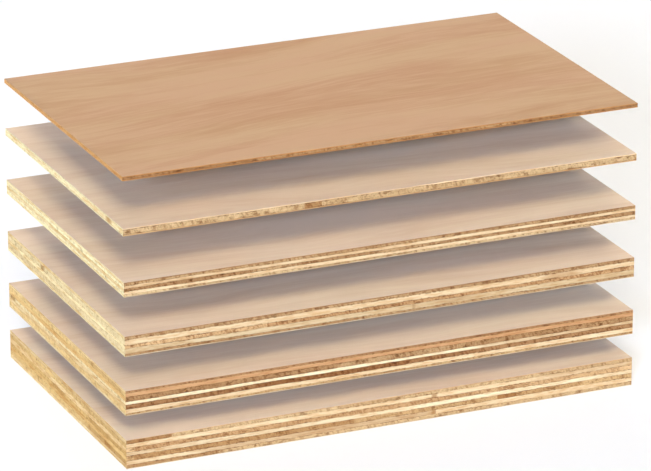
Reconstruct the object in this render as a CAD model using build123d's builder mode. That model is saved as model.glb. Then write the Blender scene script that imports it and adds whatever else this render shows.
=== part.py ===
"""A stack of six plywood sheets, from the thickest at the bottom to the thinnest on top.

Each sheet is laid up from veneers. A thin back and a thin face have their grain along the sheet (X).
The core veneers between them have their grain across the sheet (Y) and along it (X) in turn,
starting and ending with one that runs across. Pairs of sawn blocks hold the sheets apart.
The stack stands on the plane Z = 0 and is centred on the Z axis.
"""
import os

from build123d import *

# Plan size of every sheet, with the long side along X, and height of the whole stack
SHEET_LENGTH = 330.0
SHEET_WIDTH = 195.0
STACK_HEIGHT = 181.0

# Sheet thicknesses, from the floor up
BOTTOM_THICKNESS = 18.0
SECOND_THICKNESS = 15.5
THIRD_THICKNESS = 12.5
FOURTH_THICKNESS = 9.0
FIFTH_THICKNESS = 4.5
TOP_THICKNESS = 2.7

# Gaps between the sheets as shares of the height that the sheets leave free, from the floor up
GAP_SHARES = (0.13, 0.18, 0.205, 0.24, 0.245)

# Back and face veneers: sliced ones on the four thick sheets, peeled ones on the two thin sheets
SLICED_VENEER = 0.4
PEELED_VENEER = 0.6

# Core veneers as shares of the core, from the back up
BOTTOM_CORE_SHARES = (0.11, 0.16, 0.16, 0.15, 0.16, 0.15, 0.11)
SECOND_CORE_SHARES = (0.08, 0.17, 0.19, 0.12, 0.20, 0.17, 0.07)
THIRD_CORE_SHARES = (0.13, 0.25, 0.19, 0.28, 0.15)
FOURTH_CORE_SHARES = (0.14, 0.20, 0.26, 0.20, 0.20)
SINGLE_CORE_SHARES = (1.0,)

# Spacer blocks: a pair in each gap, either side of the stack's middle
SPACER_WIDTH = 40.0
SPACER_LENGTH = 34.0
SPACER_CENTRES = 180.0

# Name, thickness, outer veneer and core of each sheet, from the floor up
SHEETS = (
    ("bottom_sheet", BOTTOM_THICKNESS, SLICED_VENEER, BOTTOM_CORE_SHARES),
    ("second_sheet", SECOND_THICKNESS, SLICED_VENEER, SECOND_CORE_SHARES),
    ("third_sheet", THIRD_THICKNESS, SLICED_VENEER, THIRD_CORE_SHARES),
    ("fourth_sheet", FOURTH_THICKNESS, SLICED_VENEER, FOURTH_CORE_SHARES),
    ("fifth_sheet", FIFTH_THICKNESS, PEELED_VENEER, SINGLE_CORE_SHARES),
    ("top_sheet", TOP_THICKNESS, PEELED_VENEER, SINGLE_CORE_SHARES),
)

free_height = STACK_HEIGHT - sum(thickness for _, thickness, _, _ in SHEETS)
gaps = [free_height * share / sum(GAP_SHARES) for share in GAP_SHARES]

os.makedirs("parts", exist_ok=True)

# Veneers, laid one on another, with a gap left above every sheet but the top one
height = 0.0
sheet_tops = []
for sheet_number, (sheet_name, thickness, outer_veneer, core_shares) in enumerate(SHEETS):
    core_thickness = thickness - 2 * outer_veneer
    veneers = [("back_veneer", outer_veneer)]
    for core_number, share in enumerate(core_shares, start=1):
        grain = "cross" if core_number % 2 else "long"
        veneers.append((f"core_{core_number}_{grain}", core_thickness * share / sum(core_shares)))
    veneers.append(("face_veneer", outer_veneer))

    for veneer_name, veneer_thickness in veneers:
        with BuildPart() as veneer:
            with BuildSketch(Plane.XY.offset(height)):
                Rectangle(SHEET_LENGTH, SHEET_WIDTH)
            extrude(amount=veneer_thickness)
        veneer.part.label = f"{sheet_name}_{veneer_name}"
        export_step(veneer.part, f"parts/{veneer.part.label}.step")
        height += veneer_thickness

    sheet_tops.append(height)
    if sheet_number < len(gaps):
        height += gaps[sheet_number]

# Spacer blocks, each filling its gap from the sheet below to the sheet above
for gap_number, gap in enumerate(gaps):
    for side, sign in (("left", -1), ("right", 1)):
        with BuildPart() as spacer:
            with BuildSketch(Plane.XY.offset(sheet_tops[gap_number])):
                with Locations((sign * SPACER_CENTRES / 2, 0)):
                    Rectangle(SPACER_WIDTH, SPACER_LENGTH)
            extrude(amount=gap)
        spacer.part.label = f"spacer_{gap_number + 1}_{side}"
        export_step(spacer.part, f"parts/{spacer.part.label}.step")
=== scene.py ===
# %% [markdown]
# # A stack of plywood sheets
# Six sheets of plywood lie one above another, the thickest at the bottom, with blocks of softwood between them.
# A sheet of plywood is a pile of veneers glued together, and the grain of each veneer lies square to the next.
# The sawn edges show that lay-up as bands: pale and smooth where the grain runs along the edge, brown and
# speckled where its ends are cut. The bands are what makes the object look like plywood, so most cells are about them.
#
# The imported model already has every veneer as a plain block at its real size. This first cell loads it as a fixed
# frame, and everything below takes its places from that frame.

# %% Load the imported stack
import math

import bpy
import numpy as np
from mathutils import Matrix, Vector


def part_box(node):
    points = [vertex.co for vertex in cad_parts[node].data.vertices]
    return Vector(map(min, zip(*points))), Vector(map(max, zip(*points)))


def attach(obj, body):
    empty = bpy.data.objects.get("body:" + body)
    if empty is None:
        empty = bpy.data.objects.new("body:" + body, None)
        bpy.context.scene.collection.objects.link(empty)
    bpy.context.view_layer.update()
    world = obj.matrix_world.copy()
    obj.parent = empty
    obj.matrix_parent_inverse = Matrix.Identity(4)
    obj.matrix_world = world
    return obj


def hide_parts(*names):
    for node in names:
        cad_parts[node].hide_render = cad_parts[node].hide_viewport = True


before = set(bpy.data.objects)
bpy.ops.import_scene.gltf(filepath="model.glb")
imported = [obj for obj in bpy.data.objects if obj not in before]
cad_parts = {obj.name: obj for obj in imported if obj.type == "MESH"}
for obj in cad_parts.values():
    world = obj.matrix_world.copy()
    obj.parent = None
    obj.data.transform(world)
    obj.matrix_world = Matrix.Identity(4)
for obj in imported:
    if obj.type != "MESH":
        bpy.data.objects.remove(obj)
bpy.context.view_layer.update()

# %% [markdown]
# ## Which veneer lies where
# The node names say which sheet a veneer belongs to and how its grain lies. Sorting each sheet's veneers by height
# gives the lay-up from the back to the face, and the heights where one veneer meets the next are the glue lines.

# %% Read the lay-up
SHEETS = ("bottom_sheet", "second_sheet", "third_sheet", "fourth_sheet", "fifth_sheet", "top_sheet")
LAY_UP = {
    sheet: sorted((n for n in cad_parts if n.startswith(sheet)), key=lambda n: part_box(n)[0][2])
    for sheet in SHEETS
}
corner_low, corner_high = (np.array(c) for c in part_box("bottom_sheet_face_veneer"))
LENGTH, WIDTH = (corner_high - corner_low)[:2]
for sheet, veneers in LAY_UP.items():
    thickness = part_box(veneers[-1])[1][2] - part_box(veneers[0])[0][2]
    print(sheet, "has", len(veneers), "veneers,", round(1000 * thickness, 1), "mm")

# %% [markdown]
# ## A path round a sheet
# Every veneer has the same outline, a rectangle. A new surface for a veneer is a profile carried along that outline,
# so the outline comes first, as arrays: the points, the way out of the sheet at each point, how far each point is
# from the nearest corner, and where a point lies on its own side. A step of 0.8 mm is about as fine as a saw mark.

# %% Walk round the outline
STEP = 0.0008
COLUMNS_X, COLUMNS_Y = round(LENGTH / STEP), round(WIDTH / STEP)
AROUND = 2 * (COLUMNS_X + COLUMNS_Y)


def outline():
    """Points on a rectangle, anticlockwise from its front left corner.

    Each side runs evenly from its first corner up to, and not including, its last corner.
    """
    counts = np.array((COLUMNS_X, COLUMNS_Y, COLUMNS_X, COLUMNS_Y))
    side = np.repeat(np.arange(4), counts)
    on_side = np.concatenate([np.arange(n) / n for n in counts])
    starts = np.array(((-1, -1), (1, -1), (1, 1), (-1, 1))) * (LENGTH / 2, WIDTH / 2)
    ends = np.roll(starts, -1, axis=0)
    points = starts[side] + (ends - starts)[side] * on_side[:, None]
    outward = np.array(((0, -1), (1, 0), (0, 1), (-1, 0)), float)[side]
    from_corner = np.minimum(on_side, 1 - on_side) * np.array((LENGTH, WIDTH, LENGTH, WIDTH))[side]
    return points, outward, from_corner, side, on_side, counts[side]


POINTS, OUTWARD, FROM_CORNER, SIDE, ON_SIDE, SIDE_COUNT = outline()
print("outline points:", AROUND, "step in mm:", round(1000 * LENGTH / COLUMNS_X, 3))

# %% [markdown]
# ## Uneven glue lines
# Veneers are peeled from a log and pressed, so their thickness wanders by a tenth of a millimetre or so. A texture
# could fake that, but the band's edge is the edge of a piece here, so the pieces themselves get the wandering line.
# Two neighbours use the same line, so they still meet everywhere. The two outer faces of a sheet stay flat.

# %% Glue lines of each sheet
LINE_REACH = 0.00028  # farthest that a glue line strays, in metres
LINE_SHARE = 0.18  # and farthest as a share of the thinner veneer beside it
LONG_WAVE, SHORT_WAVE = 0.045, 0.011
LONG_PART, SHORT_PART = 0.75, 0.25
LINE_SEED = 100


def wander(rng, wave):
    """Smooth random values from -1 to 1 round the outline.

    Random numbers stand at even stations, one wave apart, and an S-shaped blend 3t^2 - 2t^3 joins each to the next.
    """
    stations = round(2 * (LENGTH + WIDTH) / wave)
    values = rng.uniform(-1, 1, stations)
    at = np.arange(AROUND) / AROUND * stations
    first = at.astype(int)
    t = at - first
    blend = t * t * (3 - 2 * t)
    return values[first] * (1 - blend) + values[(first + 1) % stations] * blend


def glue_lines(sheet, seed):
    """Heights of the veneers' limits round the sheet, one row for each limit from the underside up.

    An inner limit is its level plus a long and a short wander, as a share of the thinner veneer beside it.
    """
    rng = np.random.default_rng(seed)
    levels = np.array([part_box(n)[0][2] for n in LAY_UP[sheet]] + [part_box(LAY_UP[sheet][-1])[1][2]])
    lines = np.repeat(levels[:, None], AROUND, axis=1)
    thickness = np.diff(levels)
    for k in range(1, len(levels) - 1):
        reach = min(LINE_REACH, LINE_SHARE * min(thickness[k - 1], thickness[k]))
        lines[k] += reach * (LONG_PART * wander(rng, LONG_WAVE) + SHORT_PART * wander(rng, SHORT_WAVE))
    return levels, lines


GLUE = {sheet: glue_lines(sheet, LINE_SEED + i) for i, sheet in enumerate(SHEETS)}
print("glue lines:", sum(len(levels) - 2 for levels, _ in GLUE.values()))

# %% [markdown]
# ## Strips in the core
# A core veneer isn't one leaf. It is laid from strips of peeled wood, side by side, that differ in colour. The strips
# of a cross veneer lie side by side along the sheet, so their joints show on the front and back edges. Those of a long
# veneer show on the two ends. The tone of a strip is a number from 0, pale, to 1, dark, that the material reads later.
#
# Most strips are random, with a fixed seed. Those that catch the eye are listed, in metres from the middle of the
# sheet: where a strip ends and its tone. Two more tables set the tone along the front edge and the left end, where
# heartwood, a knot or a stain darkens a stretch of a veneer. It changes evenly from each place to the next.

# %% Lay the strips
KNOWN_STRIPS = {
    "bottom_sheet_core_7_cross": ((-0.1365, 1.0), (-0.030, 0.1), (0.010, 0.45), (0.110, 0.2)),
    "bottom_sheet_core_5_cross": ((-0.160, 0.1), (0.053, 0.6), (0.095, 0.45), (0.157, 0.35)),
    "bottom_sheet_core_3_cross": ((-0.161, 0.2), (-0.020, 0.65), (0.074, 0.25), (0.087, 1.0), (0.130, 0.5)),
    "bottom_sheet_core_1_cross": ((-0.107, 0.8), (0.030, 0.15), (0.120, 0.25)),
    "second_sheet_core_5_cross": ((-0.030, 0.6), (0.053, 0.2), (0.140, 0.5)),
    "second_sheet_core_3_cross": ((-0.083, 0.5), (0.016, 0.85), (0.060, 0.6), (0.140, 0.25)),
    "third_sheet_core_3_cross": ((-0.120, 0.2), (-0.076, 0.35), (0.100, 0.7)),
    "fifth_sheet_core_1_cross": ((-0.052, 0.3), (-0.041, 1.0), (0.090, 0.4)),
}
ALONG_THE_FRONT = {
    "bottom_sheet_core_6_long": (
        (0.030, 0.0), (0.0315, 0.9), (0.0335, 0.9), (0.035, 0.0), (0.095, 0.0), (0.110, 0.4)),
    "bottom_sheet_core_4_long": ((-0.165, 0.4), (-0.070, 0.3), (0.020, 0.0), (0.100, 0.0), (0.165, 0.2)),
    "bottom_sheet_core_2_long": (
        (-0.128, 0.15), (-0.110, 0.6), (0.030, 0.6), (0.0315, 1.0), (0.033, 1.0), (0.034, 0.0)),
    "second_sheet_core_4_long": ((0.055, 0.05), (0.066, 0.5)),
    "second_sheet_core_2_long": ((-0.165, 0.2), (0.030, 0.05)),
    "fourth_sheet_core_4_long": ((-0.100, 0.3), (0.050, 0.1)),
    "fourth_sheet_core_2_long": ((-0.165, 0.05), (0.165, 0.2)),
    "third_sheet_core_4_long": ((0.100, 0.15), (0.112, 0.7), (0.123, 0.7), (0.136, 0.15)),
    "third_sheet_core_2_long": (
        (0.017, 0.2), (0.018, 0.65), (0.019, 0.65), (0.020, 0.2), (0.032, 0.3), (0.045, 0.6), (0.066, 0.2)),
}
ALONG_THE_LEFT = {
    "bottom_sheet_core_1_cross": ((-0.0975, 0.4), (-0.020, 0.1)),
    "bottom_sheet_core_2_long": (
        (-0.073, 0.6), (-0.070, 1.0), (-0.063, 1.0), (-0.060, 0.6), (-0.035, 0.5), (-0.030, 0.1)),
    "bottom_sheet_core_3_cross": ((-0.0975, 0.0), (0.000, 0.1)),
    "bottom_sheet_core_4_long": (
        (-0.040, 0.5), (-0.030, 0.1), (0.000, 0.1), (0.005, 0.6), (0.020, 0.6), (0.030, 0.2)),
    "bottom_sheet_core_6_long": ((-0.0975, 0.4), (0.000, 0.3), (0.020, 0.0), (0.050, 0.0), (0.080, 0.4)),
    "second_sheet_core_6_long": ((-0.0975, 0.1), (-0.087, 0.6), (-0.043, 0.6), (-0.030, 0.1)),
    "second_sheet_core_4_long": ((0.086, 0.0), (0.089, 1.0), (0.094, 1.0), (0.0965, 0.4)),
    "third_sheet_core_4_long": ((0.034, 0.1), (0.0365, 1.0), (0.0395, 1.0), (0.042, 0.1)),
    "fifth_sheet_core_1_cross": ((-0.080, 0.0), (-0.077, 0.6), (-0.071, 0.6), (-0.068, 0.0)),
}
NARROWEST_STRIP, WIDEST_STRIP, MOST_STRIPS = 0.028, 0.095, 16
CLEAR_OF_KNOWN = 0.02
DARKEST_STRIP = 0.64


def strips(node, rng):
    """Joints between the strips of a core veneer, and each strip's tone, from one side of the sheet to the other."""
    reach = LENGTH if node.endswith("cross") else WIDTH
    known = KNOWN_STRIPS.get(node, ())
    joints = np.cumsum(rng.uniform(NARROWEST_STRIP, WIDEST_STRIP, MOST_STRIPS)) - reach / 2
    start = known[-1][0] + CLEAR_OF_KNOWN if known else -reach / 2
    joints = np.concatenate([[place for place, _ in known], joints[joints > start]])
    tones = rng.uniform(0, DARKEST_STRIP, len(joints) + 1)
    tones[: len(known)] = [tone for _, tone in known]
    return joints, tones


print("veneers with strips set by hand:", len(KNOWN_STRIPS))

# %% [markdown]
# ## The saw cut
# A saw leaves an edge that isn't quite flat. Strips stand a little proud of each other, a joint shows as a notch, the
# glue lies in a fine groove, and here and there two strips don't meet and leave a small pit, darkened by painted shade.
# All that is a depth behind the outline, worked out for every row of points up the edge and every point round it. It
# fades out at the corners, so that the sheets keep their size. Ends show less of the strips' tones than the long edges
# do.

# %% Cut the edge
CORE_ROWS = np.array((0.0, 0.1, 0.36, 0.64, 0.9, 1.0))  # rows up the edge, as shares of a veneer's thickness
OUTER_ROWS = np.array((0.0, 0.5, 1.0))
OPEN_JOINTS = {  # place and half width
    "top_sheet_core_1_cross": ((-0.017, 0.0024), (0.003, 0.0016), (-0.128, 0.0008)),
    "fifth_sheet_core_1_cross": ((-0.129, 0.0005), (0.160, 0.0008)),
    "second_sheet_core_5_cross": ((-0.1275, 0.0006),),
}
SAW_DEPTH, SAW_WAVE = 0.00004, 0.006
STRIP_STEP = 0.00007
NOTCH_DEPTH, NOTCH_HALF = 0.00018, 0.0009
GROOVE_DEPTH, GROOVE_SHARE = 0.00005, 0.1
PIT_DEPTH, PIT_SLOPE = 0.0014, 0.0008
CORNER_FADE = 0.0015
PLAIN_TONE = 0.5
CROSS_TONE_AT_ENDS, LONG_TONE_AT_ENDS = 0.25, 0.5


def edge_cut(node, rows, seed):
    """How far the sawn edge lies behind the sheet's outline, how hollow it is, and the tone of its strips.

    The depth is a shallow wander, a step for each strip, a notch at each joint, a groove at the glue lines,
    and a pit at an open joint, deepest in the veneer's upper half, all faded out towards the corners.
    """
    rng = np.random.default_rng(seed)
    cross = node.endswith("cross")
    across = POINTS[:, 0] if cross else POINTS[:, 1]
    depth = SAW_DEPTH * (1 + wander(rng, SAW_WAVE))
    tone, hollow = np.full(AROUND, PLAIN_TONE), np.zeros(AROUND)
    if "_core_" in node:
        joints, tones = strips(node, rng)
        strip = np.searchsorted(joints, across)
        at_ends = CROSS_TONE_AT_ENDS if cross else LONG_TONE_AT_ENDS
        tone = np.where(OUTWARD[:, 0] != 0, tones[strip] * at_ends, tones[strip])
        for marks, outward, along in ((ALONG_THE_FRONT, -OUTWARD[:, 1], 0), (ALONG_THE_LEFT, -OUTWARD[:, 0], 1)):
            if node in marks:
                places, shades = zip(*marks[node])
                tone = np.where(outward > 0, np.interp(POINTS[:, along], places, shades), tone)
        depth = depth + STRIP_STEP * rng.uniform(0, 1, len(tones))[strip]
        shows = np.abs(OUTWARD[:, 1] if cross else OUTWARD[:, 0])
        nearest = np.abs(across[:, None] - joints).min(1)
        depth = depth + NOTCH_DEPTH * shows * np.clip(1 - nearest / NOTCH_HALF, 0, 1)
        for place, half in OPEN_JOINTS.get(node, ()):
            in_front = POINTS[:, 1] < 0
            pit = shows * in_front * np.clip((half - np.abs(across - place)) / PIT_SLOPE + 0.5, 0, 1)
            hollow = np.maximum(hollow, pit)
    inside = np.clip(np.minimum(rows, 1 - rows) / GROOVE_SHARE, 0, 1)[:, None]
    lens = np.interp(rows, CORE_ROWS[2:5], (0, 1, 0))[:, None]
    full = depth + hollow * PIT_DEPTH * lens + GROOVE_DEPTH * (1 - inside)
    return full * np.clip(FROM_CORNER / CORNER_FADE, 0, 1), hollow * lens, tone


print("open joints set by hand:", sum(map(len, OPEN_JOINTS.values())))

# %% [markdown]
# ## From rings to a closed veneer
# A veneer's surface is a stack of rings, each with the outline's points: one ring a little way in on the underside,
# the rings of the edge from the lower glue line to the upper one, and one a little way in on top. Neighbouring rings
# make the quads. The two flat middles are closed with strips from front to back, and the strip at either end is
# one large face that takes up all the points of that end.

# %% Faces shared by veneers with the same number of rings
INSET = 0.003


def ring_quads(rings):
    """Corner numbers of the quads between neighbouring rings, as rings - 1 by around by 4."""
    at = np.arange(AROUND)
    after = (at + 1) % AROUND
    row = np.arange(rings - 1)[:, None] * AROUND
    return np.stack([row + at, row + after, row + AROUND + after, row + AROUND + at], -1)


def middle_faces():
    """Strips that close a ring's middle, from its front points to its back points, seen from above."""
    i = np.arange(1, COLUMNS_X - 1)
    back = 2 * COLUMNS_X + COLUMNS_Y
    strips_between = np.stack([i, i + 1, back - i - 1, back - i], -1).tolist()
    left_end = [0, 1, back - 1, back] + list(range(back + 1, AROUND))
    right_end = list(range(COLUMNS_X - 1, COLUMNS_X + COLUMNS_Y + 2))
    return strips_between + [left_end, right_end]


MIDDLE = middle_faces()
print("faces in a flat middle:", len(MIDDLE))

# %% [markdown]
# ## A flat map for each veneer
# A map says where each bit of surface lies on a square picture, for programs that paint a model with pictures. Left to
# itself, the large hidden middle of a core veneer would take up nearly all of that square. This map gives the four
# sides of the edge a wide row each, and only outer veneers get room for the one middle that can be seen.

# %% Lay out the map
FIRST_ROW, ROW_GAP = 0.04, 0.01
CORE_ROW_HEIGHT, OUTER_ROW_HEIGHT = 0.22, 0.085
HIDDEN_SIZE = (0.45, 0.03)
SHOWN_BOX = ((0.0, 0.425), (1.0, 0.57))
BOXES = {  # corner and size of the box for the underside and for the top
    "core": (((0.0, 0.96), HIDDEN_SIZE), ((0.5, 0.96), HIDDEN_SIZE)),
    "face": (((0.0, 0.0), HIDDEN_SIZE), SHOWN_BOX),
    "back": (SHOWN_BOX, ((0.0, 0.0), HIDDEN_SIZE)),
}


def edge_map(rows, tall):
    """Places on the unit square for the face corners of an edge, in a row for each of its four sides.

    Along a row a point's place is its share of its side. Up a row it is its share of the veneer's thickness.
    """
    foot = FIRST_ROW + (tall + ROW_GAP) * SIDE
    low = foot + tall * rows[:-1, None]
    high = foot + tall * rows[1:, None]
    left = np.broadcast_to(ON_SIDE, low.shape)
    right = np.broadcast_to(ON_SIDE + 1 / SIDE_COUNT, low.shape)
    corners = ((left, low), (right, low), (right, high), (left, high))
    return np.stack([np.stack(corner, -1) for corner in corners], 2)


def box_map(xy, corner, size):
    """Places on the unit square for points of a flat middle, seen from above."""
    return np.array(corner) + (xy / (LENGTH, WIDTH) + 0.5) * np.array(size)


print("map boxes:", list(BOXES))

# %% [markdown]
# ## Make every veneer
# One function turns a node into its new surface: rings, faces and map. Another keeps the numbers that the material will
# read as attributes of the mesh: the strip's tone for each face, and for each corner how near it is to a glue line and
# how deep it lies in a pit. The new piece stands for the block of the same name.

# %% Build and place the veneers
VENEER_SEED, SEEDS_PER_SHEET = 1000, 20
GLUE_SHARE = CORE_ROWS[2]
GLUE_AT_ENDS = 0.8


def keep_marks(mesh, kind, rows, quads, hollow, tone):
    """Writes the attributes glue, hollow and tone.

    Glue falls evenly from 1 on a glue line to 0 at about a third of the veneer's thickness away from it.
    """
    lines = np.clip(1 - np.minimum(rows, 1 - rows) / GLUE_SHARE, 0, 1)
    if kind == "face":
        lines[-1] = 0
    if kind == "back":
        lines[0] = 0
    fainter = np.where(np.abs(OUTWARD[:, 0]) > 0, GLUE_AT_ENDS, 1.0)[:, None]
    glue = np.zeros(quads.shape)
    glue[1:-1] = np.stack([lines[:-1], lines[:-1], lines[1:], lines[1:]], -1)[:, None] * fainter
    no_pit = np.zeros((1, AROUND))
    pits = np.concatenate([no_pit, hollow, no_pit]).ravel()[quads]
    corners_of_middles = np.zeros(len(mesh.loops) - quads.size)
    for name, values in (("glue", glue), ("hollow", pits)):
        layer = mesh.attributes.new(name, "FLOAT", "CORNER")
        layer.data.foreach_set("value", np.concatenate([values.ravel(), corners_of_middles]).astype(np.float32))
    tones = np.concatenate([np.tile(tone, len(quads)), np.full(2 * len(MIDDLE), PLAIN_TONE)])
    mesh.attributes.new("tone", "FLOAT", "FACE").data.foreach_set("value", tones.astype(np.float32))


def veneer_piece(node, level_low, level_high, line_low, line_high, seed):
    """A closed veneer: the rim lies between its two glue lines, set back by the edge cut, and both middles are flat."""
    kind = "core" if "_core_" in node else node.split("_")[-2]
    rows, row_height = (CORE_ROWS, CORE_ROW_HEIGHT) if kind == "core" else (OUTER_ROWS, OUTER_ROW_HEIGHT)
    depth, hollow, tone = edge_cut(node, rows, seed)
    rim = np.empty((len(rows), AROUND, 3))
    rim[..., :2] = POINTS - OUTWARD * depth[..., None]
    rim[..., 2] = line_low + rows[:, None] * (line_high - line_low)
    inner = POINTS * (1 - INSET * 2 / np.array((LENGTH, WIDTH)))
    under = np.column_stack([inner, np.full(AROUND, level_low)])
    over = np.column_stack([inner, np.full(AROUND, level_high)])
    rings = np.concatenate([under[None], rim, over[None]])
    points, quads = rings.reshape(-1, 3), ring_quads(len(rings))
    last = (len(rings) - 1) * AROUND
    flat_under = [face[::-1] for face in MIDDLE]
    flat_over = [[last + v for v in face] for face in MIDDLE]
    mesh = bpy.data.meshes.new("laid_" + node)
    mesh.from_pydata(points.tolist(), [], quads.reshape(-1, 4).tolist() + flat_under + flat_over)

    under_box, over_box = BOXES[kind]
    banks = [box_map(points[quads[0], :2], *under_box)[None], edge_map(rows, row_height),
             box_map(points[quads[-1], :2], *over_box)[None]]
    flats = [box_map(points[np.concatenate(faces), :2], *box)
             for faces, box in ((flat_under, under_box), (flat_over, over_box))]
    uv = np.concatenate([np.concatenate(banks).reshape(-1, 2)] + flats)
    mesh.uv_layers.new(name="OFBake").data.foreach_set("uv", uv.astype(np.float32).ravel())

    keep_marks(mesh, kind, rows, quads, hollow, tone)
    if kind != "core":
        finish_number = np.zeros(len(mesh.polygons), np.int32)
        finish_number[AROUND : AROUND * len(rows)] = 1
        mesh.polygons.foreach_set("material_index", finish_number)
    mesh.validate()
    piece = bpy.data.objects.new(mesh.name, mesh)
    bpy.context.collection.objects.link(piece)
    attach(piece, "root")
    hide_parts(node)
    return piece


LAID = {}
for i, sheet in enumerate(SHEETS):
    levels, lines = GLUE[sheet]
    for k, node in enumerate(LAY_UP[sheet]):
        seed = VENEER_SEED + SEEDS_PER_SHEET * i + k
        LAID[node] = veneer_piece(node, levels[k], levels[k + 1], lines[k], lines[k + 1], seed)
print("veneers:", len(LAID), "faces:", sum(len(o.data.polygons) for o in LAID.values()))

# %% [markdown]
# ## Helpers for shader nodes
# A material is a tree of nodes, and making each one takes several lines. These helpers make a node and join it up in
# one line: noise that is stretched along the grain, a smooth step that turns noise into a mask, sums, products, and
# a darkening by a tint where a mask says so, which lays on stains and also painted shade in the pits.

# %% Make and join nodes
def put(tree, kind, inputs=None, **settings):
    """Adds a shader node, sets its settings, and gives each named input a value or a link."""
    node = tree.nodes.new("ShaderNode" + kind)
    for name, value in settings.items():
        setattr(node, name, value)
    for name, value in (inputs or {}).items():
        if isinstance(value, bpy.types.NodeSocket):
            tree.links.new(value, node.inputs[name])
        else:
            node.inputs[name].default_value = value
    return node


def stretched_noise(tree, point, stretch, detail, rough):
    """Noise whose grains are 1/stretch metres long along each axis."""
    scaled = put(tree, "VectorMath", {0: point, 1: stretch}, operation="MULTIPLY")
    noise = put(tree, "TexNoise", {"Vector": scaled.outputs[0], "Scale": 1.0, "Detail": detail, "Roughness": rough})
    return noise.outputs["Fac"]


def ramp(tree, value, low, high, to_low=0.0, to_high=1.0):
    """A smooth step from to_low to to_high, as value goes from low to high."""
    limits = {"Value": value, "From Min": low, "From Max": high, "To Min": to_low, "To Max": to_high}
    return put(tree, "MapRange", limits, interpolation_type="SMOOTHSTEP").outputs["Result"]


def maths(tree, operation, a, b):
    """One step of arithmetic on two values, such as ADD or MULTIPLY."""
    return put(tree, "Math", {0: a, 1: b}, operation=operation).outputs[0]


def total(tree, first, *others):
    """All the values added up, from the first to the last."""
    for other in others:
        first = maths(tree, "ADD", first, other)
    return first


def times(tree, a, b):
    """The product of two values."""
    return maths(tree, "MULTIPLY", a, b)


def stain_and_shade(tree, colour, tint, amount):
    """Multiplies a colour by a tint, by an amount from 0 to 1. It lays on stains, and painted shade in the pits."""
    return put(tree, "Mix", {"Factor": amount, "A": colour, "B": (*tint, 1)}, data_type="RGBA",
               blend_type="MULTIPLY").outputs["Result"]


print("node helpers:", [f.__name__ for f in (put, stretched_noise, ramp, maths, total, times, stain_and_shade)])

# %% [markdown]
# ## The wood
# All the wood here is one effect with different values, so it is built once as a node group. Along the grain, wood
# shows long streaks and fine fibres, and short dashes where a saw has crossed them. A sliced face also has a figure:
# broad bands and small rays, bent by a slow sway. Across a cut end there are pores, flecks, growth rings and the cracks
# that a lathe leaves. The group works out both and chooses by how squarely the surface faces along the grain.
# It reads places in metres, with the grain along X. The table gives each pattern its stretch, its noise and its mask.

# %% Patterns and stains of wood
# Each row has the stretch along the grain, across it and up, the noise's detail and roughness, then the mask's limits
# and its values at those limits.
PATTERNS = {
    "streak": ((5, 85, 620), 5.0, 0.62, 0.36, 0.68, 0.0, 0.62),
    "fibre": ((40, 2100, 2100), 2.0, 0.55, 0.35, 0.70, 0.0, 0.38),
    "cloud": ((6, 20, 50), 2.0, 0.55, 0.35, 0.65, -0.12, 0.18),
    "rays": ((42, 420, 420), 2.0, 0.55, 0.44, 0.68, 0.10, -0.34),
    "broad": ((4, 17, 17), 2.0, 0.55, 0.36, 0.64, 0.38, -0.48),
    "dash": ((150, 900, 1300), 3.0, 0.65, 0.42, 0.64, 0.0, 0.65),
    "blotch": ((90, 90, 420), 2.0, 0.55, 0.42, 0.66, 0.0, 0.45),
    "drift": ((16, 26, 60), 2.0, 0.55, 0.38, 0.64, 0.0, 0.45),
    "pink": ((6, 26, 26), 3.0, 0.55, 0.38, 0.62, 0.0, 1.0),
    "pore": ((380, 980, 1150), 3.0, 0.65, 0.48, 0.66, 0.0, 1.0),
    "fleck": ((90, 230, 420), 2.0, 0.55, 0.54, 0.70, 0.0, 1.0),
    "ring": ((20, 55, 1300), 2.0, 0.55, 0.45, 0.66, 0.0, 1.0),
    "patch": ((25, 75, 160), 2.0, 0.55, 0.38, 0.66, 0.0, 1.0),
    "crack": ((60, 520, 190), 2.0, 0.60, 0.50, 0.64, 0.0, 0.8),
    "broken": ((45, 45, 25), 2.0, 0.55, 0.38, 0.62, 0.15, 1.0),
    "dots": ((430, 430, 170), 2.0, 0.55, 0.48, 0.60, 0.0, 1.0),
}
SWAY = ((5, 10, 0), 1.0, 0.55)
GLUE_LINE, GLUE_DOTS = (0.66, 1.0, 0.0, 0.7), (0.40, 0.95, 0.0, 0.95)  # masks made from the nearness of a glue line
LONG_STAIN, PINK_STAIN = (0.70, 0.50, 0.33), (1.0, 0.962, 0.99)
END_STAIN, FLECK_STAIN, CRACK_STAIN = (0.50, 0.38, 0.27), (0.42, 0.30, 0.22), (0.52, 0.37, 0.26)
# The pit colour on this line is painted shade: it darkens a pit by its depth, not a stain of the wood.
STRIP_STAIN, PIT_PAINTED_SHADE = (0.58, 0.43, 0.32), (0.16, 0.09, 0.06)
LINE_STAIN, DOT_STAIN = (0.52, 0.38, 0.28), (0.34, 0.21, 0.14)
PORE_PART, RING_PART, PATCH_PART = 0.62, 0.26, 0.34
CRACK_LEAN = 0.5  # radians
END_FROM, END_TO = 0.45, 0.75  # how squarely a surface faces along the grain before it counts as a cut end


def pattern(tree, point, name):
    """A pattern of the table: its stretched noise, passed through a smooth step between its limits."""
    stretch, detail, rough, *limits = PATTERNS[name]
    return ramp(tree, stretched_noise(tree, point, stretch, detail, rough), *limits)


print("patterns:", list(PATTERNS))

# %% [markdown]
# The group itself has three parts in a row: the wood along the grain, the wood of a cut end, and what lies over both,
# which is the strip's tone, the glue, and painted shade in the pits. Its inputs say how strong each effect is on a
# given piece.

# %% Build the wood group
INPUTS = {
    "Vector": ("Point", "Grain"),
    "Color": ("Long colour", "End colour"),
    "Float": ("Sway", "Streak", "Figure", "Dash", "Speckle", "Tone", "Glue", "Hollow"),
}


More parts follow.
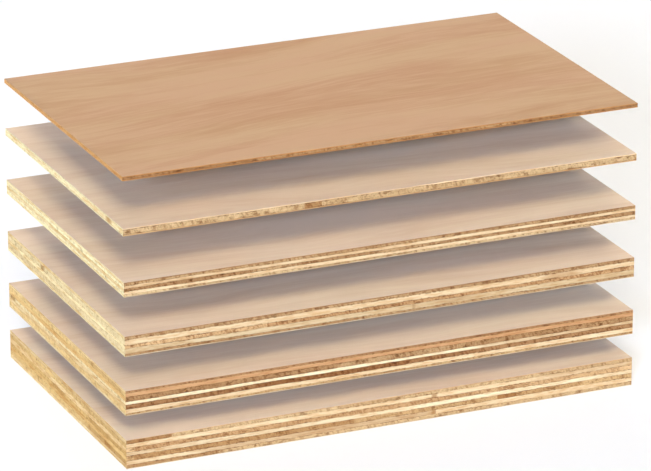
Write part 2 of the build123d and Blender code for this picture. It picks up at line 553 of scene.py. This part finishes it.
def long_wood(tree, point, given):
    """Wood along the grain, and its fibres: the long colour, stained by streaks, figure and dashes, then by pink."""
    sway = stretched_noise(tree, point, *SWAY)
    shift = put(tree, "CombineXYZ", {"Y": times(tree, sway, given["Sway"])}).outputs[0]
    bent = put(tree, "VectorMath", {0: point, 1: shift}, operation="ADD").outputs[0]
    stretch, detail, rough, *limits = PATTERNS["fibre"]
    fibre = stretched_noise(tree, point, stretch, detail, rough)
    along = total(tree, pattern(tree, bent, "streak"), ramp(tree, fibre, *limits), pattern(tree, point, "cloud"))
    figure = times(tree, total(tree, pattern(tree, bent, "rays"), pattern(tree, bent, "broad")), given["Figure"])
    along = times(tree, total(tree, along, figure), given["Streak"])
    dashes = times(tree, total(tree, *(pattern(tree, point, name) for name in ("dash", "blotch", "drift"))),
                   given["Dash"])
    colour = stain_and_shade(tree, given["Long colour"], LONG_STAIN, total(tree, along, dashes))
    pink = times(tree, pattern(tree, bent, "pink"), given["Figure"])
    return stain_and_shade(tree, colour, PINK_STAIN, pink), fibre


def end_wood(tree, point, given):
    """Wood of a cut end, and its pores: the end colour, stained by pores, rings and patches, flecks and cracks."""
    speckle = given["Speckle"]
    pore = pattern(tree, point, "pore")
    cut = total(tree, times(tree, pore, PORE_PART), times(tree, pattern(tree, point, "ring"), RING_PART),
                times(tree, pattern(tree, point, "patch"), PATCH_PART))
    colour = stain_and_shade(tree, given["End colour"], END_STAIN, times(tree, cut, speckle))
    colour = stain_and_shade(tree, colour, FLECK_STAIN, times(tree, pattern(tree, point, "fleck"), speckle))
    leaning = put(tree, "VectorRotate", {"Vector": point, "Angle": CRACK_LEAN}, rotation_type="X_AXIS").outputs[0]
    colour = stain_and_shade(tree, colour, CRACK_STAIN, times(tree, pattern(tree, leaning, "crack"), speckle))
    return colour, pore


def wood_group():
    """A node group that gives the colour and the height of sawn wood, with the inputs named above."""
    tree = bpy.data.node_groups.new("sawn_veneer", "ShaderNodeTree")
    for kind, names in INPUTS.items():
        for name in names:
            tree.interface.new_socket(name, in_out="INPUT", socket_type="NodeSocket" + kind)
    for name, kind in (("Colour", "Color"), ("Height", "Float")):
        tree.interface.new_socket(name, in_out="OUTPUT", socket_type="NodeSocket" + kind)
    given = tree.nodes.new("NodeGroupInput").outputs
    result = tree.nodes.new("NodeGroupOutput").inputs
    point = given["Point"]
    long_colour, fibre = long_wood(tree, point, given)
    end_colour, pore = end_wood(tree, point, given)

    normal = put(tree, "NewGeometry").outputs["Normal"]
    facing = put(tree, "VectorMath", {0: normal, 1: given["Grain"]}, operation="DOT_PRODUCT").outputs["Value"]
    end = ramp(tree, maths(tree, "ABSOLUTE", facing, 0.0), END_FROM, END_TO)
    wood = put(tree, "Mix", {"Factor": end, "A": long_colour, "B": end_colour}, data_type="RGBA").outputs["Result"]
    wood = stain_and_shade(tree, wood, STRIP_STAIN, given["Tone"])
    broken = pattern(tree, point, "broken")
    line = times(tree, ramp(tree, given["Glue"], *GLUE_LINE), broken)
    dots = times(tree, pattern(tree, point, "dots"), ramp(tree, given["Glue"], *GLUE_DOTS))
    dots = times(tree, dots, broken)
    wood = stain_and_shade(tree, wood, LINE_STAIN, line)
    wood = stain_and_shade(tree, wood, DOT_STAIN, dots)
    # Painted shade in the pits, darkest where a pit is deepest.
    wood = stain_and_shade(tree, wood, PIT_PAINTED_SHADE, given["Hollow"])
    tree.links.new(wood, result["Colour"])
    height = put(tree, "Mix", {"Factor": end, "A": fibre, "B": maths(tree, "SUBTRACT", 1.0, pore)})
    tree.links.new(height.outputs["Result"], result["Height"])
    return tree


WOOD = wood_group()
print("wood group nodes:", len(WOOD.nodes))

# %% [markdown]
# ## Tones of the veneers
# Peeled core veneers come from mixed logs. A few named tones, in plain screen colours from 0 to 255, cover them all.
# Each veneer gets two: how it looks along its grain and how its cut ends look, listed for each sheet from the back to
# the face. Cut ends come out darker than their tone, because the speckle lies over it.

# %% Name the tones
def screen(red, green, blue):
    """A screen colour as the linear values that shaders use.

    With c from 0 to 1, a value is ((c + 0.055) / 1.055) to the power 2.4, or c / 12.92 where c is very small.
    """
    c = np.array((red, green, blue)) / 255
    return (*np.where(c <= 0.04045, c / 12.92, ((c + 0.055) / 1.055) ** 2.4), 1.0)


TONES = {
    "ivory": screen(253, 243, 213), "cream": screen(245, 228, 194), "straw": screen(231, 217, 184),
    "butter": screen(249, 242, 199), "wheat": screen(237, 221, 176), "amber": screen(226, 197, 138),
    "ochre": screen(224, 192, 130), "honey": screen(226, 187, 144), "tan": screen(232, 207, 165),
    "biscuit": screen(221, 187, 139), "brown": screen(204, 171, 130), "umber": screen(190, 150, 109),
    "beige": screen(230, 208, 178), "grey_beige": screen(194, 187, 179), "red_tan": screen(200, 164, 126),
    "apricot": screen(236, 203, 158), "maize": screen(236, 209, 150), "rust": screen(188, 148, 106),
    "orange": screen(216, 171, 113), "caramel": screen(195, 145, 89), "bark": screen(172, 130, 86),
    "sand": screen(226, 198, 155),
}
EDGES = {
    "bottom_sheet": ("straw wheat", "wheat sand", "cream amber", "amber biscuit", "ivory ochre", "wheat apricot",
                     "cream amber", "wheat sand", "biscuit maize"),
    "second_sheet": ("straw wheat", "wheat biscuit", "cream maize", "wheat umber", "ivory wheat", "maize brown",
                     "honey maize", "wheat umber", "umber maize"),
    "third_sheet": ("straw butter", "butter brown", "straw wheat", "butter apricot", "cream wheat", "wheat brown",
                    "bark wheat"),
    "fourth_sheet": ("straw butter", "butter tan", "cream butter", "butter brown", "cream butter", "butter brown",
                     "bark butter"),
    "fifth_sheet": ("biscuit butter", "butter tan", "tan butter"),
    "top_sheet": ("caramel orange", "orange rust", "caramel orange"),
}
print("tones:", len(TONES), "bands:", sum(map(len, EDGES.values())))

# %% [markdown]
# ## Materials of the veneers
# A finish is a set of strengths for the wood group: one for edges along the grain, one for edges with cut ends, one for
# the pale faces, and so on. The material of a cross veneer turns the pattern by a quarter turn, a face turns it by a
# small lean, and each veneer's pattern is moved to its own place, so no two bands repeat.

# %% Materials for the veneers
LONG_EDGE = {"Streak": 0.25, "Figure": 0.0, "Sway": 0.009, "Dash": 0.5, "Speckle": 0.45}
CROSS_EDGE = {**LONG_EDGE, "Dash": 0.7, "Speckle": 0.8}
SOFT_CROSS_EDGE = {**CROSS_EDGE, "Speckle": 0.64}
PALE_FACE = {"Streak": 0.30, "Figure": 0.6, "Sway": 0.06, "Dash": 0.0, "Speckle": 0.3}
RED_FACE = {**PALE_FACE, "Streak": 0.36, "Figure": 1.0}
PALE_LEAN, RED_LEAN = 0.03, -0.10  # radians
EDGE_RELIEF, FACE_RELIEF = 0.35, 0.15
RELIEF_DEPTH = 0.0002
ROUGHNESS, SHEEN = 0.78, 0.05
PLACE_SEED, FARTHEST_PLACE = 7, 3


def wood_material(name, tones, finish, cross, place, shade=0.0, relief=EDGE_RELIEF, lean=0.0):
    """A material for one veneer or block: the wood group with its own tones, turned and placed for this piece."""
    material = bpy.data.materials.new(name)
    material.use_nodes = True
    tree = material.node_tree
    coords = put(tree, "TexCoord").outputs["Object"]
    turn = (0, 0, -math.pi / 2 if cross else lean)
    turned = put(tree, "Mapping", {"Vector": coords, "Rotation": turn, "Location": place}).outputs["Vector"]
    marks = {mark: put(tree, "Attribute", attribute_name=mark).outputs["Fac"] for mark in ("tone", "glue", "hollow")}
    long_tone, end_tone = tones.split()
    given = {
        "Point": turned, "Grain": (0, 1, 0) if cross else (1, 0, 0),
        "Long colour": TONES[long_tone], "End colour": TONES[end_tone],
        "Tone": times(tree, marks["tone"], shade), "Glue": marks["glue"], "Hollow": marks["hollow"],
    }
    wood = put(tree, "Group", {**given, **finish}, node_tree=WOOD)
    bump = put(tree, "Bump", {"Height": wood.outputs["Height"], "Strength": relief, "Distance": RELIEF_DEPTH})
    shader = tree.nodes["Principled BSDF"]
    tree.links.new(wood.outputs["Colour"], shader.inputs["Base Color"])
    tree.links.new(bump.outputs["Normal"], shader.inputs["Normal"])
    shader.inputs["Roughness"].default_value = ROUGHNESS
    shader.inputs["Specular IOR Level"].default_value = SHEEN
    return material


def flat_finish(node):
    """Tones, finish and lean of an outer veneer's wide face: red on top of the stack, else pale, and grey on backs."""
    if node == "top_sheet_face_veneer":
        return "red_tan red_tan", RED_FACE, RED_LEAN
    return "beige beige" if "face" in node else "grey_beige grey_beige", PALE_FACE, PALE_LEAN


placing = np.random.default_rng(PLACE_SEED)
for sheet in SHEETS:
    for node, tones in zip(LAY_UP[sheet], EDGES[sheet], strict=True):
        core, cross = "_core_" in node, node.endswith("cross")
        place = tuple(placing.uniform(-FARTHEST_PLACE, FARTHEST_PLACE, 3))
        finish = LONG_EDGE if not cross else SOFT_CROSS_EDGE if sheet == "bottom_sheet" else CROSS_EDGE
        edge = wood_material("edge_" + node, tones, finish, cross, place, shade=1.0 if core else 0.0)
        if not core:
            flat_tones, finish, lean = flat_finish(node)
            flat = wood_material("flat_" + node, flat_tones, finish, False, place, relief=FACE_RELIEF, lean=lean)
            LAID[node].data.materials.append(flat)
        LAID[node].data.materials.append(edge)
print("wood materials:", len(bpy.data.materials))

# %% [markdown]
# ## The spacer blocks
# The blocks between the sheets are plain sawn softwood, hidden from the front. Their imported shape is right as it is, so
# they only get wood of their own, with the grain across the sheet.

# %% Finish the blocks
SAWN_BLOCK = {"Streak": 0.7, "Figure": 0.0, "Sway": 0.009, "Dash": 0.2, "Speckle": 0.5}
for name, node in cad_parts.items():
    if name.startswith("spacer"):
        place = tuple(placing.uniform(-FARTHEST_PLACE, FARTHEST_PLACE, 3))
        pine = wood_material("pine_" + name, "wheat amber", SAWN_BLOCK, True, place)
        for slot in node.material_slots:
            slot.material = pine
print("blocks:", sum(n.startswith("spacer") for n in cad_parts))

# %% [markdown]
# ## The floor
# A plain floor runs out of the picture. The camera sees it nearly white, because there it is paler and glows a little.
# Other light meets a darker floor, so that it doesn't brighten the edges from below. The Light Path node tells
# which is which. The shadow of the stack still falls on it.

# %% Lay the floor
FLOOR_REACH = 8
FLOOR_UNSEEN, FLOOR_SEEN = (0.35, 0.35, 0.35, 1), (0.45, 0.44, 0.425, 1)
FLOOR_GLOW, FLOOR_ROUGHNESS = 0.55, 0.9

floor_mesh = bpy.data.meshes.new("floor")
corners = [(x * FLOOR_REACH, y * FLOOR_REACH, 0) for x, y in ((-1, -1), (1, -1), (1, 1), (-1, 1))]
floor_mesh.from_pydata(corners, [], [(0, 1, 2, 3)])
floor = bpy.data.objects.new("floor", floor_mesh)
bpy.context.collection.objects.link(floor)
floor_paint = bpy.data.materials.new("floor_paint")
floor_paint.use_nodes = True
floor_tree = floor_paint.node_tree
light_path = put(floor_tree, "LightPath").outputs
seen = maths(floor_tree, "MAXIMUM", light_path["Is Camera Ray"], light_path["Is Glossy Ray"])
seen = maths(floor_tree, "MAXIMUM", seen, light_path["Is Transmission Ray"])
paint = put(floor_tree, "Mix", {"Factor": seen, "A": FLOOR_UNSEEN, "B": FLOOR_SEEN}, data_type="RGBA")
floor_shader = floor_tree.nodes["Principled BSDF"]
floor_tree.links.new(paint.outputs["Result"], floor_shader.inputs["Base Color"])
floor_tree.links.new(times(floor_tree, seen, FLOOR_GLOW), floor_shader.inputs["Emission Strength"])
floor_shader.inputs["Emission Color"].default_value = (1, 1, 1, 1)
floor_shader.inputs["Roughness"].default_value = FLOOR_ROUGHNESS
floor_shader.inputs["Specular IOR Level"].default_value = 0.0
floor_mesh.materials.append(floor_paint)
print("floor in metres:", tuple(floor.dimensions))

# %% [markdown]
# ## The light
# Soft sun lamps stand in for large studio windows. A high one from the front left lights the strip of each face that
# stands clear of the sheet above, and a low cool one reaches deep into the gaps. A lamp that low would burn out the
# edges, which face it squarely. Blender can tell a lamp which pieces it lights, so the low one lights only faces and
# floor, and three others light only the edges: from the front, from the left, and from behind on the right. A weak
# high one from the back keeps the far side from going dark. The levels are chosen so that a colour renders about
# as it is written.

# %% Lamps and world
WORLD_COLOUR, WORLD_LEVEL = (0.92, 0.97, 1.13, 1), 0.30


def soft_lamp(name, azimuth, elevation, level, spread, colour, lit=None):
    """A sun lamp from an azimuth, from the front towards the right, and an elevation, in degrees.

    Where a list of lit pieces is given, the lamp lights only those.
    """
    a, e = math.radians(azimuth), math.radians(elevation)
    towards = Vector((math.sin(a) * math.cos(e), -math.cos(a) * math.cos(e), math.sin(e)))
    light = bpy.data.lights.new(name, "SUN")
    light.energy = level * math.pi
    light.angle = math.radians(spread)
    light.color = colour
    lamp = bpy.data.objects.new(name, light)
    bpy.context.collection.objects.link(lamp)
    lamp.rotation_euler = towards.to_track_quat("Z", "Y").to_euler()
    if lit:
        lamp.light_linking.receiver_collection = bpy.data.collections.new("lit_by_" + name)
        for piece in lit:
            lamp.light_linking.receiver_collection.objects.link(piece)


FACES = [piece for node, piece in LAID.items() if node.endswith("face_veneer")]
EDGED = [piece for node, piece in LAID.items() if not node.endswith("face_veneer")]
soft_lamp("high_front_left", -23, 42, 0.57, 18, (1.12, 0.99, 0.72))
soft_lamp("low_front", -34, 17.5, 1.03, 9, (0.83, 1.02, 1.48), FACES + [floor])
soft_lamp("edge_left", -82, 16, 0.23, 16, (1.08, 1.0, 0.92), EDGED)
soft_lamp("high_back", 168, 35, 0.23, 12, (1.08, 1.0, 0.88))
soft_lamp("edge_front", -45, 17.5, 0.76, 9, (0.92, 0.99, 1.10), EDGED)
soft_lamp("edge_back", 120, 20, 0.50, 12, (1.10, 0.98, 0.86), EDGED)

world = bpy.data.worlds.new("studio")
world.use_nodes = True
world.node_tree.nodes["Background"].inputs["Color"].default_value = WORLD_COLOUR
world.node_tree.nodes["Background"].inputs["Strength"].default_value = WORLD_LEVEL
bpy.context.scene.world = world
bpy.context.scene.view_settings.view_transform = "Standard"

# %% [markdown]
# ## The camera
# The camera stands in front, to the left and a little above, with a long lens, so the sheets look nearly alike in size.
# The lens is written as a distance in pixels on a picture 651 pixels wide, and turned into millimetres.

# %% Place the camera
PICTURE_WIDTH = 651
LENS_PIXELS = 5000
SENSOR = 36
AWAY = 3.036
yaw, pitch = math.radians(-23.65), math.radians(20.11)
target = Vector((0.0042, -0.0006, 0.0880))
towards_camera = Vector((math.sin(yaw) * math.cos(pitch), -math.cos(yaw) * math.cos(pitch), math.sin(pitch)))
camera_data = bpy.data.cameras.new("camera")
camera_data.sensor_width = SENSOR
camera_data.lens = LENS_PIXELS / PICTURE_WIDTH * SENSOR
camera = bpy.data.objects.new("camera", camera_data)
bpy.context.collection.objects.link(camera)
camera.location = target + towards_camera * AWAY
camera.rotation_euler = towards_camera.to_track_quat("Z", "Y").to_euler()
bpy.context.scene.camera = camera
print("lens in mm:", round(camera_data.lens, 1))
